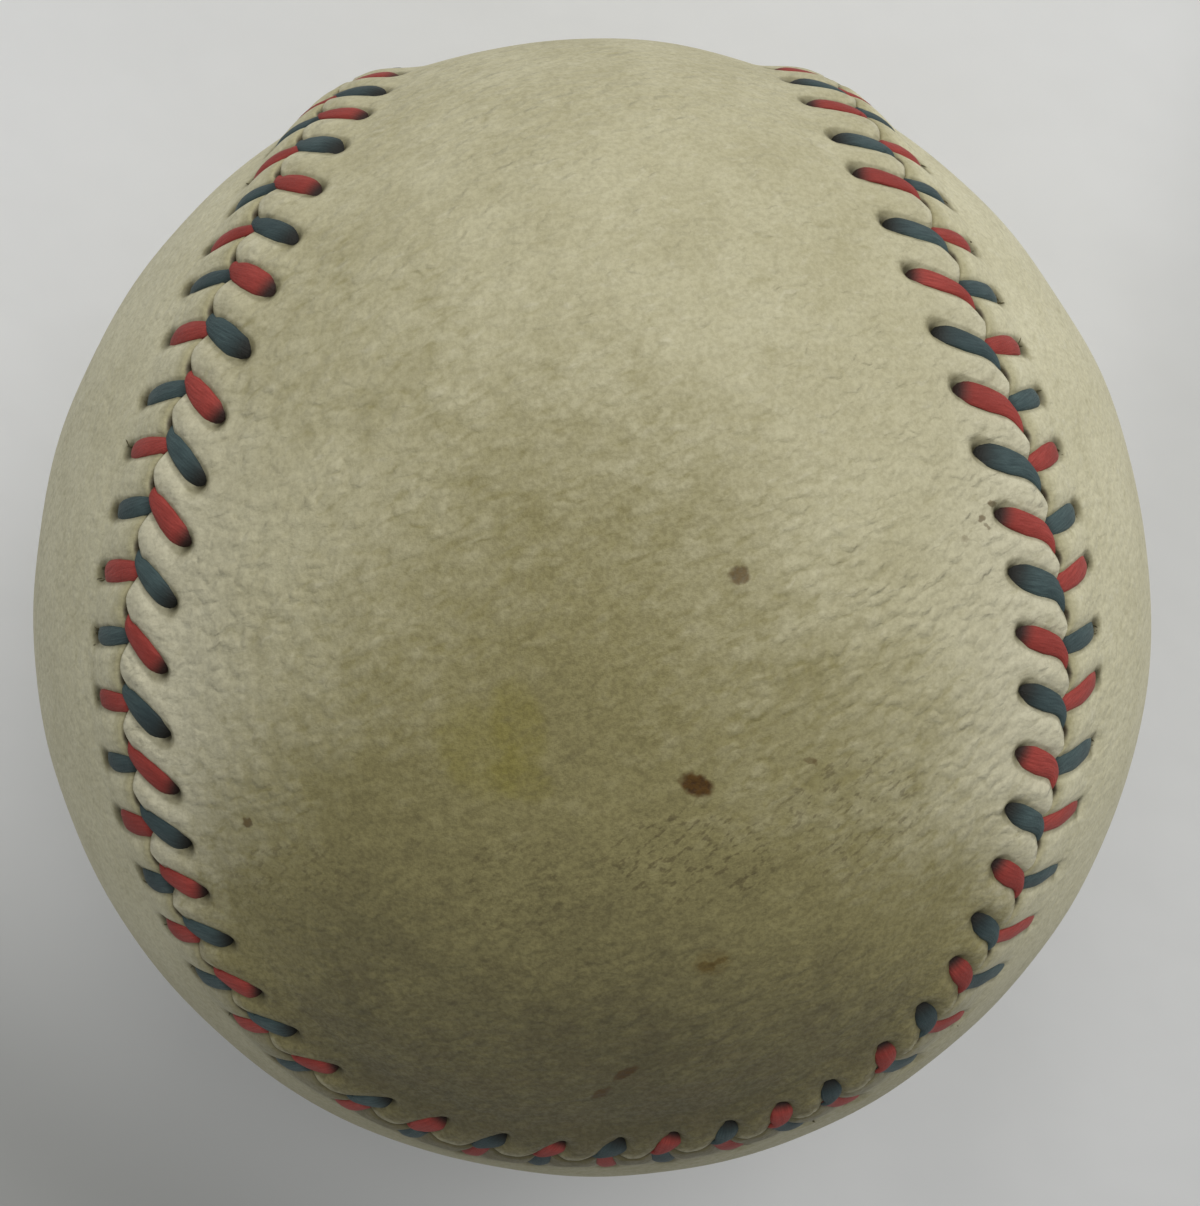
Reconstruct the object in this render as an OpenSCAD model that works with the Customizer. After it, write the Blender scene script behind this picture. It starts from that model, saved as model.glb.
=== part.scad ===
// Baseball with a cushioned cork centre, wound wool and cotton, and a two-panel leather cover
// sewn with one red and one blue thread. The origin is the ball's centre.
// Panel A's round lobes face +Z and -Z, panel B's face +X and -X, and the waists lie at +Y and -Y.

/* [Ball] */
// Diameter over the cover leather
ball_d = 73.8; // [71:0.1:76]
// Thickness of the cover leather
leather_t = 1.3; // [1.1:0.05:1.6]

/* [Pill] */
// Diameter of the cork core
core_d = 20.6; // [16:0.2:24]
// Thickness of each black rubber half-shell
half_shell_t = 4; // [3:0.1:5]
// Thickness of the gasket between the half-shells' rims
gasket_t = 1; // [0.6:0.1:2]
// Thickness of the red rubber skin
skin_t = 2.4; // [1.6:0.1:3]

/* [Windings] */
// Thickness of the white wool winding
white_t = 1.8; // [1:0.1:3]
// Thickness of the outer grey wool winding
outer_grey_t = 2.2; // [1:0.1:3]
// Thickness of the fine cotton winding with its cement
cotton_t = 0.3; // [0.2:0.05:0.6]

/* [Stitching] */
// Number of double stitches round the seam, an even number
stitches = 108; // [88:2:112]
// Diameter of the thread where it is drawn through the leather
thread_d = 0.6; // [0.4:0.05:0.7]
// Width of a leg of a stitch where it lies flat on the leather
leg_w = 1.2; // [0.7:0.05:1.3]
// Thickness of a leg of a stitch where it lies flat
leg_t = 0.42; // [0.3:0.02:0.6]
// Distance from the seam to panel A's row of holes
row_a = 3.8; // [3:0.1:4.5]
// Distance from the seam to panel B's row of holes
row_b = 3.4; // [3:0.1:4.5]
// How far panel A's hole lies along the seam from the place where its leg goes down
lead_a = 2.2; // [0.5:0.1:2.6]
// The same for panel B
lead_b = 0.2; // [0:0.1:1]

/* [Hidden] */

// Clearance between one layer of the ball and the next
layer_fit = 0.05;
// Clearance round the thread in its holes, in the seam and under the leather
thread_fit = 0.06;
// How far cuts run past what they cut
overrun = 1;
// Leather left at the edge of a thinned margin past the outermost hole
margin = 0.6;

ball_r = ball_d / 2;
leather_in = ball_r - leather_t;
cotton_r = leather_in - layer_fit;
outer_grey_r = cotton_r - cotton_t - layer_fit;
white_r = outer_grey_r - outer_grey_t - layer_fit;
inner_grey_r = white_r - white_t - layer_fit;
core_r = core_d / 2;
shell_in = core_r + layer_fit;
shell_r = shell_in + half_shell_t;
skin_in = shell_r + layer_fit;
skin_r = skin_in + skin_t;
wool_in = skin_r + layer_fit;

// The seam is a closed wave on the ball. In a ball of radius one, s degrees along, it is at
// x = base sin s + wave sin 3s, y = -lift cos 2s, z = base cos s - wave cos 3s, which has length one
wave_share = 0.297;
base_share = 1 - wave_share;
lift_share = 2 * sqrt(base_share * wave_share);
// The seam runs fastest where the panels' lobes meet their waists, and slowest at the lobes' ends
speed_share = pow(base_share, 2) + 9 * pow(wave_share, 2);
slow_share = sqrt(speed_share + 6 * base_share * wave_share);
fast_share = sqrt(speed_share + 10 * base_share * wave_share);
seam_length = PI * ball_r * (slow_share + fast_share);
// Evens out the speed, so that equal turns are equal lengths of the seam
even_share = (fast_share - slow_share) / (fast_share + slow_share) / 4;
even_turn = even_share * 180 / PI;
pitch = seam_length / stitches;
// Place of the first stitch, as a share of the pitch
first_share = 0.25;

seam_gap = thread_d + 2 * thread_fit;
thinned_r = leather_in + thread_d + 2 * thread_fit;
hole_r = thread_d / 2 + thread_fit;
thinned_w = max(row_a, row_b) + hole_r + margin;
under_r = leather_in + thread_fit + thread_d / 2;
corner_r = ball_r + thread_fit + thread_d / 2;
flat_r = ball_r + thread_fit + leg_t / 2;
// The legs of one stitch go down this far apart along the seam, so that the stretch of one thread
// that slants away under panel B passes clear of the other thread
split = seam_gap * norm([row_b, pitch + lead_b + leg_w]) / row_b;
// The cones that cut the panels reach this far past the ball, as a share of its radius
reach_share = 1.7;
edge_steps = 2 * stitches;
thread_sides = 6;
$fn = 128;

function unit(v) = v / norm(v);
// Direction along the ball from one place towards another
function toward(from, to) = unit(to - from * (from * to));

function evened(turn) = turn + even_turn * sin(4 * turn);
function seam_point(s) = [base_share * sin(s) + wave_share * sin(3 * s), -lift_share * cos(2 * s),
                          base_share * cos(s) - wave_share * cos(3 * s)];
function seam_course(s) = unit([base_share * cos(s) + 3 * wave_share * cos(3 * s),
                                2 * lift_share * sin(2 * s),
                                3 * wave_share * sin(3 * s) - base_share * sin(s)]);
// A place on the unit ball, beside the seam by a length that is positive towards panel A
function beside(turn, off) =
    let (s = evened(turn), p = seam_point(s))
    unit(p + cross(p, seam_course(s)) * off / ball_r);

// Panel A is side 1 and panel B is side -1
function stitch_turn(k, ahead) = (k + first_share + ahead / pitch) * 360 / stitches;
function down_ahead(side) = side > 0 ? 0 : split;
function down_place(k, side) = beside(stitch_turn(k, down_ahead(side)), 0);
function hole_place(k, side) =
    beside(stitch_turn(k, down_ahead(side) + (side > 0 ? lead_a : lead_b)), side > 0 ? row_a : -row_b);

module layer(outer_r, inner_r) {
    difference() {
        sphere(r = outer_r);
        sphere(r = inner_r);
    }
}

// A cone from the ball's centre that holds one panel, inset from the seam's middle by a length
module panel_cone(side, inset) {
    start = side > 0 ? 0 : 90;
    n = edge_steps;
    rim = [for (i = [0 : n - 1])
        reach_share * ball_r * beside(start + side * 360 * i / n, side * inset)];
    walls = [for (i = [0 : n - 1]) [0, 1 + i, 1 + (i + 1) % n]];
    first_end = [[n, 2, 1]];
    roof = [for (i = [1 : n / 2 - 2]) [1 + n - i, n - i, 2 + i, 1 + i]];
    last_end = [[2 + n / 2, 1 + n / 2, n / 2]];
    polyhedron(points = concat([[0, 0, 0]], rim), faces = concat(walls, first_end, roof, last_end));
}

module needle_holes(side) {
    for (k = [0 : stitches - 1]) {
        h = hole_place(k, side);
        rotate([0, acos(h[2]), atan2(h[1], h[0])])
            translate([0, 0, leather_in - overrun])
                cylinder(h = leather_t + 2 * overrun, r = hole_r, $fn = 24);
    }
}

// A panel is a shell of leather, thinned from inside along its edge, where the thread passes under it
module cover_panel(side) {
    difference() {
        intersection() {
            layer(ball_r, leather_in);
            panel_cone(side, seam_gap / 2);
        }
        difference() {
            sphere(r = thinned_r);
            panel_cone(side, thinned_w);
        }
        needle_holes(side);
    }
}

function ring(middle, wide, high, turned) =
    [for (j = [0 : thread_sides - 1])
        let (q = 360 * j / thread_sides + turned)
        middle + wide * cos(q) + high * sin(q)];

// One stitch of a thread: up through a hole, over the leather, down in the seam, under the other panel
function stitch_rings(k, side) =
    let (h = hole_place(k, side),
         v = down_place(k, side),
         before = down_place(k - 1, -side),
         after = hole_place(k + 1, -side),
         r = thread_d / 2,
         over = unit(cross(v, h)),
         under = unit(cross(after, v)),
         middle_over = unit(h + v),
         middle_under = unit(v + after),
         turned = 180 * (k % 2))
    [ring(under_r * h, r * unit(cross(h, before)), r * (h + toward(h, before)), turned + 180),
     ring(corner_r * h, r * over, r * (h - toward(h, v)), turned),
     ring(flat_r * middle_over, leg_w / 2 * over, leg_t / 2 * middle_over, turned),
     ring(corner_r * v, r * over, r * (v - toward(v, h)), turned),
     ring(under_r * v, r * under, r * (v + toward(v, after)), turned),
     ring(under_r * middle_under, r * under, r * middle_under, turned)];

// A whole thread is one closed tube, whose legs lie on panel A at every other stitch
module thread(first_side) {
    rings = [for (k = [0 : stitches - 1]) each stitch_rings(k, k % 2 == 0 ? first_side : -first_side)];
    count = len(rings);
    n = thread_sides;
    polyhedron(
        points = [for (a = rings) each a],
        faces = [for (i = [0 : count - 1], j = [0 : n - 1])
            let (a = i * n, b = (i + 1) % count * n, next = (j + 1) % n)
            each [[a + j, a + next, b + next], [a + j, b + next, b + j]]]);
}

module half_shell(up) {
    difference() {
        layer(shell_r, shell_in);
        translate([-ball_r, -ball_r, up ? -ball_d : -gasket_t / 2 - layer_fit])
            cube([ball_d, ball_d, ball_d + (up ? gasket_t / 2 + layer_fit : 0)]);
    }
}

module cork_core() {
    color("#b98a55") sphere(r = core_r);
}

module lower_rubber_shell() {
    color("#2b2b2b") half_shell(false);
}

module upper_rubber_shell() {
    color("#353535") half_shell(true);
}

module rubber_gasket() {
    color("#a8342a")
        intersection() {
            layer(shell_r, shell_in);
            translate([-ball_r, -ball_r, -gasket_t / 2])
                cube([ball_d, ball_d, gasket_t]);
        }
}

module red_rubber_skin() {
    color("#b03a2e") layer(skin_r, skin_in);
}

module inner_grey_winding() {
    color("#8b8a86") layer(inner_grey_r, wool_in);
}

module white_winding() {
    color("#e4e0d4") layer(white_r, inner_grey_r + layer_fit);
}

module outer_grey_winding() {
    color("#9a9890") layer(outer_grey_r, white_r + layer_fit);
}

module cotton_winding() {
    color("#efe9d8") layer(cotton_r, outer_grey_r + layer_fit);
}

module cover_panel_a() {
    color("#c9c2a3") cover_panel(1);
}

module cover_panel_b() {
    color("#bfb798") cover_panel(-1);
}

module red_thread() {
    color("#a8403a") thread(-1);
}

module blue_thread() {
    color("#3f5560") thread(1);
}

cork_core();
lower_rubber_shell();
upper_rubber_shell();
rubber_gasket();
red_rubber_skin();
inner_grey_winding();
white_winding();
outer_grey_winding();
cotton_winding();
cover_panel_a();
cover_panel_b();
red_thread();
blue_thread();
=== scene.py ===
"""Looks of an old baseball: leather panels, red and blue stitching, wound yarn, floor, light and camera.

Lengths are in metres, unless a comment gives another unit. A place near the seam is given by its length
along the seam, counted both ways from the lower edge of the panel that faces the camera, and by its length
beside the seam, which is positive towards panel A.
"""
import math

import bpy
import numpy as np
from mathutils import Matrix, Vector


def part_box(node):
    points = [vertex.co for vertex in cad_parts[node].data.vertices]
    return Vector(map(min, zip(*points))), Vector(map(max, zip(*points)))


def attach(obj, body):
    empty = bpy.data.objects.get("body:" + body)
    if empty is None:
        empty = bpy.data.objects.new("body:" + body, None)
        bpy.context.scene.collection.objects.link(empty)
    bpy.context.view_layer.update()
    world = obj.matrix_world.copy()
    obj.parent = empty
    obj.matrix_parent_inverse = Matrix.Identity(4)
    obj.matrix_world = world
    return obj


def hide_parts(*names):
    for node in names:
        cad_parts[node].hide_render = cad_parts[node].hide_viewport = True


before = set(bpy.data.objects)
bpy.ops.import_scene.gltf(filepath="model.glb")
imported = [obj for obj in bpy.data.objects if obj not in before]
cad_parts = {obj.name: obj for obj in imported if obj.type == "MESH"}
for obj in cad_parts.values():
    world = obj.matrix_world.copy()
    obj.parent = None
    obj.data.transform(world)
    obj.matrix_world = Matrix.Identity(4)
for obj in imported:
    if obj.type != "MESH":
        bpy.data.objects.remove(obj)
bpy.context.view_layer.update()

MM = 0.001
BALL_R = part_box("cover_panel_a")[1].z
COTTON_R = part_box("cotton_winding")[1].z
LAYER_GAP = 0.05 * MM
LEATHER_IN = COTTON_R + LAYER_GAP
# The old ball is pressed a little out of round, and its lower flanks are swollen. The swelling's start, its
# depth and the width of the dip in its middle are shares of the radius
OVAL = np.array([0.990, 1.0075, 1.0])
SWELL = 0.28 * MM
SWELL_START = 0.25
SWELL_DEPTH = 0.6
MIDDLE_DIP = 0.5
MIDDLE_DIP_W = 0.3

# The seam is a wave on the ball, with the same values as in the CAD. It has a slowest and a fastest course,
# from which come its length and the term that makes equal steps equal lengths
STITCHES = 108
WAVE = 0.297
BASE = 1 - WAVE
LIFT = 2 * math.sqrt(BASE * WAVE)
SPEED = BASE ** 2 + 9 * WAVE ** 2
SLOW = math.sqrt(SPEED + 6 * BASE * WAVE)
FAST = math.sqrt(SPEED + 10 * BASE * WAVE)
EVEN = (FAST - SLOW) / (FAST + SLOW) / 4
SEAM = math.pi * BALL_R * (SLOW + FAST)
PITCH = SEAM / STITCHES

rng = np.random.default_rng(11)


def unit(v):
    return v / np.linalg.norm(v, axis=-1, keepdims=True)


def ease(x):
    """Rises smoothly from 0 at 0 to 1 at 1."""
    x = np.clip(x, 0, 1)
    return x * x * (3 - 2 * x)


def bell(x):
    """Falls smoothly from 1 at 0 to nearly 0 at 2."""
    return np.exp(-x ** 2)


def evened(turn):
    """A turn round the seam, changed so that equal steps of it are equal lengths."""
    return turn + EVEN * np.sin(4 * turn)


def seam_point(s):
    return np.stack([BASE * np.sin(s) + WAVE * np.sin(3 * s), -LIFT * np.cos(2 * s),
                     BASE * np.cos(s) - WAVE * np.cos(3 * s)], -1)


def seam_course(s):
    return unit(np.stack([BASE * np.cos(s) + 3 * WAVE * np.cos(3 * s), 2 * LIFT * np.sin(2 * s),
                          3 * WAVE * np.sin(3 * s) - BASE * np.sin(s)], -1))


# Camera, as it stood over the ball in the photograph. The frame is in pixels, the lens in millimetres

FRAME_W = 1200
FRAME_H = 1206
LENS = 67.5
SENSOR = 36
CLIP_START = 0.01
VIEW_BACK = np.array([-0.007, 0.071, 0.997])
VIEW_UP = np.array([0.006, 0.997, -0.071])
CAMERA_FAR = 0.1521
# Where the ball's centre shows in the photograph, in pixels
CENTRE_X = 592.4
CENTRE_Y = 606.8

view_back = unit(VIEW_BACK)
view_right = unit(np.cross(VIEW_UP, view_back))
view_up = np.cross(view_back, view_right)
camera_at = view_back * CAMERA_FAR


def add_camera():
    data = bpy.data.cameras.new("camera")
    data.sensor_fit = "HORIZONTAL"
    data.sensor_width = SENSOR
    data.lens = LENS
    data.shift_x = (FRAME_W / 2 - CENTRE_X) / FRAME_W
    data.shift_y = (CENTRE_Y - FRAME_H / 2) / FRAME_W
    data.clip_start = CLIP_START
    camera = bpy.data.objects.new("camera", data)
    turned = Matrix([view_right, view_up, view_back]).transposed().to_4x4()
    camera.matrix_world = Matrix.Translation(camera_at) @ turned
    bpy.context.scene.collection.objects.link(camera)
    bpy.context.scene.camera = camera


def seen_at(x, y):
    """The place on the ball that shows at a pixel of the photograph, as a direction from its centre."""
    focal = LENS / SENSOR * FRAME_W
    ray = unit(view_right * (x - CENTRE_X) + view_up * (CENTRE_Y - y) - view_back * focal)
    half = camera_at @ ray
    reach = -half - math.sqrt(half ** 2 - camera_at @ camera_at + BALL_R ** 2)
    return unit(camera_at + ray * reach)


# Stitches. Each list below holds pairs of a stitch's number and a value there. Number 0 is at the lower
# edge of the panel that faces the camera, and the numbers grow up the right side of the ball. The values
# between are filled in evenly. The back of the ball, which the photograph doesn't show, has even stitches

FIRST = -STITCHES // 2
NUMBERS = np.arange(STITCHES) + FIRST

# How far each stitch lies from its even place, as a share of the pitch
STRAY = [(-54, -0.2), (-30, -0.1), (-22, -0.22), (-19, -0.52), (-16, -0.72), (-14, -0.82), (-11, -0.80),
         (-8, -0.90), (-6, -1.14), (-4, -0.92), (-2, -0.53), (0, 0), (2, 0.48), (4, 0.68), (6, 0.69),
         (8, 0.51), (10, 0.45), (12, 0.28), (14, 0.07), (16, -0.13), (19, -0.18), (21, -0.10), (23, 0.10),
         (30, -0.05), (54, -0.2)]
# How far the seam itself runs towards panel A, in millimetres
SEAM_SHIFT = [(-54, 0), (-30, 0.4), (-20, 0.9), (-17, 0.9), (-15, 0.3), (-13, -0.2), (-10, 0.9), (-7, 2.3),
              (-5, 3.4), (-2, 5.9), (0, 7.0), (2, 6.6), (4, 5.0), (6, 3.1), (8, 2.1), (10, 1.4), (12, 0.3),
              (14, -0.15), (16, 0.3), (18, 0.85), (21, 1.0), (30, 0.4), (54, 0)]
# How far ahead of its seam end each leg's hole is, and how far from the seam, in millimetres
LEAD_A = [(-54, 2.0), (-30, 1.6), (-22, 1.2), (-20, 1.5), (-18, 1.9), (-16, 2.4), (-13, 2.3), (-11, 1.9),
          (-9, 1.2), (-6, 1.6), (-4, 1.1), (-2, 1.3), (0, 1.8), (1, 2.2), (3, 1.7), (6, 2.0), (8, 1.95),
          (10, 1.7), (12, 2.0), (15, 2.2), (17, 2.25), (19, 1.8), (21, 1.2), (23, 0.5), (30, 1.6), (54, 2.0)]
ROW_A = [(-54, 3.6), (-22, 3.3), (-20, 3.5), (-16, 3.3), (-12, 3.1), (-9, 2.8), (-6, 2.1), (-3, 2.2),
         (0, 1.7), (2, 2.2), (5, 1.8), (8, 2.3), (10, 3.0), (12, 3.3), (14, 3.6), (18, 3.7), (20, 3.5),
         (54, 3.6)]
LEAD_B = [(-54, 0.8), (-22, 0.5), (-20, 0.4), (-18, 1.1), (-16, 1.0), (-13, 1.4), (-8, 0.8), (0, 0.4),
          (4, -0.2), (8, -0.1), (11, 0.75), (14, 1.6), (17, 1.8), (19, 0.5), (22, 0.6), (30, 0.6), (54, 0.8)]
ROW_B = [(-54, 3.4), (-22, 3.7), (-16, 4.1), (-13, 3.7), (-11, 3.3), (-8, 3.1), (-5, 3.4), (0, 4.3),
         (3, 5.0), (5, 5.6), (8, 5.8), (10, 5.4), (12, 4.7), (13, 4.4), (15, 4.0), (17, 3.7), (21, 3.1),
         (30, 3.2), (54, 3.4)]
# How far ahead of the stitch's seam end its leg on panel B goes down, in millimetres
DOWN_B = [(-54, 0.7), (-22, 0.5), (-14, 0.6), (-10, 0.9), (-7, 1.0), (-3, 0.8), (0, 0.4), (4, 0.0), (8, 0.3),
          (12, 0.6), (16, 0.9), (22, 0.8), (54, 0.7)]
# How long the pointed tail of each leg on panel A is, and how far that leg bows, as shares
TAIL = [(-54, 0.5), (-22, 0.4), (-8, 0.35), (0, 0.35), (8, 0.45), (13, 0.6), (22, 0.5), (54, 0.5)]
BOW = [(-54, 0.5), (-22, 0.1), (-8, 0.1), (0, 0.6), (8, 1.0), (22, 1.0), (54, 0.5)]
# How high the leather's edges stand beside the seam, and how much higher panel A's edge stands than panel
# B's, in millimetres
RIDGE = [(-54, 0.55), (-30, 0.7), (-26, 0.8), (-20, 0.5), (20, 0.5), (26, 0.8), (30, 0.7), (54, 0.55)]
PROUD = [(-54, 0), (-8, 0), (0, 0.05), (4, 0.2), (7, 0.28), (11, 0.15), (15, 0), (54, 0)]
# How much the stitches differ from one another in each of these, in millimetres or as a share
SCATTER = {"end": 0.10, "lead_a": 0.12, "row_a": 0.10, "lead_b": 0.15, "row_b": 0.12, "tail": 0.06,
           "wide_a": 0.06, "wide_b": 0.07}


def by_stitch(pairs):
    """A value for each stitch, from a few pairs, smoothed over its neighbours."""
    values = np.interp(NUMBERS, *zip(*pairs))
    return (np.roll(values, 1) + 2 * values + np.roll(values, -1)) / 4


def jitter(what):
    return rng.normal(0, SCATTER[what], STITCHES)


seam_end = (NUMBERS + by_stitch(STRAY)) * PITCH + jitter("end") * MM
shift_values = by_stitch(SEAM_SHIFT) * MM
lead_a = (by_stitch(LEAD_A) + jitter("lead_a")) * MM
row_a = (by_stitch(ROW_A) + jitter("row_a")) * MM
lead_b = (by_stitch(LEAD_B) + jitter("lead_b")) * MM
row_b = (by_stitch(ROW_B) + jitter("row_b")) * MM
down_b = by_stitch(DOWN_B) * MM
tail = by_stitch(TAIL) + jitter("tail")
bow = by_stitch(BOW)
ridge_values = by_stitch(RIDGE) * MM
proud_values = by_stitch(PROUD) * MM
wide_a = 1 + jitter("wide_a")
wide_b = 1 + jitter("wide_b")


def wrapped(length):
    """A length along the seam, brought to within half the seam of its start."""
    return (length + SEAM / 2) % SEAM - SEAM / 2


def along_seam(values, along):
    """A value at a length along the seam, from the values that the stitches have."""
    return np.interp(wrapped(along) / PITCH, NUMBERS, values, period=STITCHES)


def stitch_at(along):
    """The stitch, counted from the first one and with its fraction, that lies at a length along the seam."""
    ends = np.concatenate([seam_end - SEAM, seam_end, seam_end + SEAM])
    counts = np.arange(3 * STITCHES) - STITCHES
    return np.interp(wrapped(along), ends, counts)


def beside(along, off):
    """Direction from the ball's centre to a place beside the seam as it really runs."""
    s = evened(2 * math.pi * along / SEAM)
    p = seam_point(s)
    way = np.cross(p, seam_course(s))
    return unit(p + way * ((off + along_seam(shift_values, along)) / BALL_R)[..., None])


def ball_radius(direction):
    """Radius of the ball's plain outer surface, a little out of round, in a direction."""
    low = ease((SWELL_START - direction[..., 1]) / SWELL_DEPTH)
    flank = 1 - MIDDLE_DIP * bell(direction[..., 0] / MIDDLE_DIP_W)
    return BALL_R / np.linalg.norm(direction / OVAL, axis=-1) + SWELL * low * flank


# Shapes of the legs, point by point from the hole to the seam. Each point has its share of the way from
# the seam to the hole, its width, its height over the leather's groove, the groove's depth and the share of
# the bow there. Widths, heights and depths are in millimetres

LEG_A = [(1.00, 1.14, -0.46, 0.16, 0.00), (0.94, 1.32, 0.04, 0.28, 0.01), (0.77, 1.38, 0.17, 0.38, 0.03),
         (0.50, 1.42, 0.20, 0.43, 0.09), (0.24, 1.24, 0.20, 0.43, 0.15), (0.07, 0.86, 0.12, 0.36, 0.04)]
# The tail's points have their place ahead of and beside the leg's seam end instead of the share
TAIL_A = [((-0.62, 0.08), 0.50, -0.04, 0.22), ((-1.25, -0.05), 0.20, -0.34, 0.10)]
LEG_B = [(1.00, 1.00, -0.44, 0.14, 0), (0.94, 1.16, 0.03, 0.24, 0), (0.72, 1.22, 0.15, 0.34, 0),
         (0.45, 1.26, 0.19, 0.38, 0), (0.20, 1.14, 0.14, 0.38, 0), (0.00, 0.90, -0.08, 0.30, 0)]
# How far beside the seam the legs on panel B go down, in millimetres
DOWN_B_OFF = 0.30


class Legs:
    """The legs of all stitches on one panel: for each stitch a row of places, widths, heights and depths."""

    def __init__(self, side):
        if side > 0:
            shape = LEG_A
            start = np.stack([seam_end, 0 * seam_end], -1)
            hole = np.stack([seam_end + lead_a, row_a], -1)
            wide = wide_a
        else:
            shape = LEG_B
            start = np.stack([seam_end + down_b, 0 * seam_end + DOWN_B_OFF * MM], -1)
            hole = np.stack([seam_end + lead_b, -row_b], -1)
            wide = wide_b
        places = []
        for share, width, lift, depth, bend in shape:
            place = start + (hole - start) * share
            if side > 0:
                place = place + np.stack([lead_a * bow * bend, 0 * lead_a], -1)
            places.append(place)
        widths = [wide * point[1] for point in shape]
        lifts = [point[2] for point in shape]
        depths = [point[3] for point in shape]
        if side > 0:
            for (ahead, off), width, lift, depth in TAIL_A:
                places.append(np.stack([seam_end + ahead * MM * tail, 0 * tail + off * MM], -1))
                widths.append(wide * width)
                lifts.append(lift)
                depths.append(depth)
        self.hole = hole
        self.places = np.stack(places, 1)
        self.widths = np.stack(widths, 1) * MM
        self.lifts = np.array(lifts) * MM
        self.depths = np.array(depths) * MM

    def near(self, k, i, along, off):
        """Distance to the stretch from a leg's point i to its next one, and the width and depth there."""
        a = self.places[k, i]
        b = self.places[k, i + 1]
        du = wrapped(along - a[..., 0])
        dv = off - a[..., 1]
        eu = b[..., 0] - a[..., 0]
        ev = b[..., 1] - a[..., 1]
        t = np.clip((du * eu + dv * ev) / (eu ** 2 + ev ** 2), 0, 1)
        gap = np.hypot(du - t * eu, dv - t * ev)
        width = self.widths[k, i] * (1 - t) + self.widths[k, i + 1] * t
        depth = self.depths[i] * (1 - t) + self.depths[i + 1] * t
        return gap, width, depth


legs = {1: Legs(1), -1: Legs(-1)}

# The leather near the seam: its raised edges, its pillows between the stitches and its pit at each hole
RIDGE_TOP = 0.9 * MM
RIDGE_END = 4.9 * MM
PROUD_START = 0.15 * MM
PROUD_RISE = 0.3 * MM
PROUD_END = 3.0 * MM
PILLOW = 0.15 * MM
PILLOW_W = 0.9 * MM
PIT = 0.30 * MM
PIT_R = 0.42 * MM
DEEPEST = -0.52 * MM
# The width of the groove under a leg, as a share of the leg's
GROOVE_W = 0.52
# The stitches whose legs can reach a place, counted from the nearest one, and what counts as far from all
NEIGHBOURS = (-2, -1, 0, 1)
FAR_OFF = 9 * MM


def near_legs(along, off):
    """How near the closest leg and the closest hole are, and how deep the legs' grooves are there."""
    nearest = np.full(np.shape(along), FAR_OFF)
    to_hole = np.full(np.shape(along), FAR_OFF)
    groove = np.zeros(np.shape(along))
    middle = np.round(stitch_at(along)).astype(int)
    for step in NEIGHBOURS:
        k = (middle + step) % STITCHES
        for row in legs.values():
            for i in range(row.places.shape[1] - 1):
                gap, width, depth = row.near(k, i, along, off)
                groove = np.maximum(groove, depth * bell(gap / (GROOVE_W * width)))
                nearest = np.minimum(nearest, gap - width / 2)
            gap = np.hypot(wrapped(along - row.hole[k, 0]), off - row.hole[k, 1])
            to_hole = np.minimum(to_hole, gap)
    return nearest, to_hole, groove


def seam_relief(along, off):
    """Height of the leather beside the seam, and how near the closest leg and the closest hole are."""
    nearest, to_hole, groove = near_legs(along, off)
    ridge = along_seam(ridge_values, along)
    height = ridge * (1 - ease((np.abs(off) - RIDGE_TOP) / (RIDGE_END - RIDGE_TOP)))
    proud = along_seam(proud_values, along)
    height = height + proud * ease((off + PROUD_START) / PROUD_RISE) * (1 - ease(off / PROUD_END))
    near = np.clip(1 - np.abs(off) / RIDGE_END, 0, 1)
    height = height + PILLOW * ease(nearest / PILLOW_W) * near - groove
    height = height - PIT * bell(to_hole / PIT_R)
    return np.maximum(height, DEEPEST), nearest, to_hole


# The slow unevenness of the leather over the wound yarn: waves in many directions
WAVES = 26
WAVE_RATES = (9, 34)
WAVE_HEIGHT = 0.012 * MM
wave_ways = unit(rng.normal(0, 1, (WAVES, 3))) * rng.uniform(*WAVE_RATES, (WAVES, 1))
wave_starts = rng.uniform(0, 2 * math.pi, WAVES)


def dents(direction):
    return WAVE_HEIGHT * np.sin(direction @ wave_ways.T + wave_starts).sum(-1)


# Panels. Rows of points run along the seam, from the panel's edge inwards on its outer side, and from the
# edge down and inwards on its inner side. Both sides close on an arc in the panel's middle

COLUMNS = 16 * STITCHES
EDGE_R = 0.38 * MM
EDGE_ANGLES = (0, 16, 32, 48, 62, 76, 90)
NEAR_W = 5.2 * MM
NEAR_ROWS = 25
FAR_ROWS = 28
FAR_INNER_ROWS = 6
# The thinned margin on the inner side: its radius, and how far its rows are from the edge
MARGIN_R = COTTON_R + 0.60 * MM
MARGIN_START = 0.12 * MM
MARGIN_MIDDLE = 2.4 * MM
MARGIN_W = 4.8 * MM
MARGIN_STEP = 0.15 * MM
# The slit between the panels, which opens a little where a tail goes down. It runs to and fro between the
# stitches, more so low on the right. Its mean place and its swings are in millimetres
SLIT = 0.012 * MM
SLIT_OPEN = 0.065 * MM
SLIT_OPEN_W = 0.5 * MM
SLIT_FADE = 2.5 * MM
SLIT_PLACE = -0.08
SLIT_SWING = 0.17
SLIT_SWING_MORE = 0.23
SLIT_PHASE = 0.15
LOW_RIGHT_STITCH = 6
LOW_RIGHT_SPREAD = 6
TAIL_REACH = 1.3 * MM
TAIL_PHASE = 0.2
# How wide the grime and painted shade lie beside the slit, the legs and the holes, and how strong they are in
# the slit
SLIT_SHADE_AND_DIRT_W = 0.20 * MM
LEG_SHADE_AND_DIRT_W = 0.30 * MM
HOLE_SHADE_AND_DIRT_W = 0.62 * MM
CLOSED_SHADE_AND_DIRT = 0.45
OPEN_SHADE_AND_DIRT = 0.55
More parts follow.
